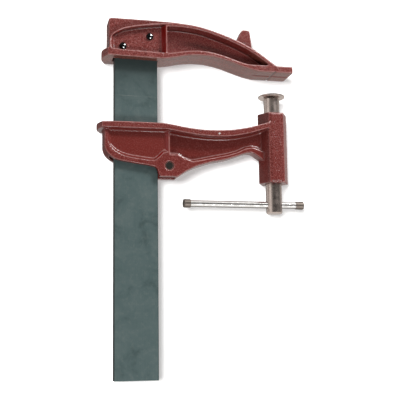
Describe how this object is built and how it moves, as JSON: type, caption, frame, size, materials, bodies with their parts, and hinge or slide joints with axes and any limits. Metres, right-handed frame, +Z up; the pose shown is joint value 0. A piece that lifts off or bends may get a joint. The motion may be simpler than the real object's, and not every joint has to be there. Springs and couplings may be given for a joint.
{
  "type": "f clamp",
  "caption": "Heavy F clamp: flat bar, riveted cast fixed arm, cast sliding arm with grip shoe, spindle with swivel plate and sliding tommy bar.",
  "frame": {"origin": "centre of the bar's lower end face", "axes": "+Z up the bar towards the fixed arm, +X from the bar to the spindle, Y through the thickness of the bar"},
  "size_m": [0.2464, 0.0364, 0.4129],
  "materials": {
    "bar_steel": "cold-drawn, grey-green, satin",
    "red_enamel": "dark red enamel over a fine sand-cast skin",
    "black_rivet": "gloss black",
    "dark_pin": "dark oxide",
    "plated_steel": "bright plated, fine turned lines",
    "bright_chrome": "polished",
    "dull_steel": "dull, lightly tarnished"
  },
  "bodies": {
    "bar_assembly": {"bar": "bar_steel", "fixed_arm": "red_enamel", "fixed_arm_rivet_lower": "black_rivet", "fixed_arm_rivet_upper": "black_rivet"},
    "shoe": {"grip_shoe": "dull_steel", "grip_shoe_pin": "dark_pin"},
    "arm": {"sliding_arm": "red_enamel"},
    "screw_carrier": {"plate_retaining_ring": "dull_steel"},
    "screw": {"spindle": "plated_steel"},
    "plate": {"pressure_plate": "plated_steel"},
    "handle": {"tommy_bar": "bright_chrome", "tommy_bar_left_cap": "dull_steel", "tommy_bar_right_cap": "dull_steel"}
  },
  "joints": [
    {"name": "arm_slide", "type": "slide", "parent": "bar_assembly", "child": "shoe", "axis": [0, 0, 1], "range_m": [-0.21, 0.005]},
    {"name": "arm_tilt", "type": "hinge", "parent": "shoe", "child": "arm", "pos_m": [0.0374, 0, 0.2404], "axis": [0, 1, 0], "range_deg": [-1, 1]},
    {"name": "screw_travel", "type": "slide", "parent": "arm", "child": "screw_carrier", "axis": [0, 0, 1], "range_m": [-0.0161, 0.0161]},
    {"name": "spindle_turn", "type": "hinge", "parent": "screw_carrier", "child": "screw", "pos_m": [0.1654, 0, 0.199], "axis": [0, 0, 1], "range_deg": [-1440, 1440]},
    {"name": "plate_tilt", "type": "hinge", "parent": "screw_carrier", "child": "plate", "pos_m": [0.1654, 0, 0.32], "axis": [0, 1, 0], "range_deg": [-5, 5]},
    {"name": "tommy_bar_slide", "type": "slide", "parent": "screw", "child": "handle", "axis": [1, 0, 0], "range_m": [-0.016, 0.09]}
  ],
  "couplings": [
    {"joint": "screw_travel", "follows": "spindle_turn", "m_per_rad": 0.00063662}
  ]
}
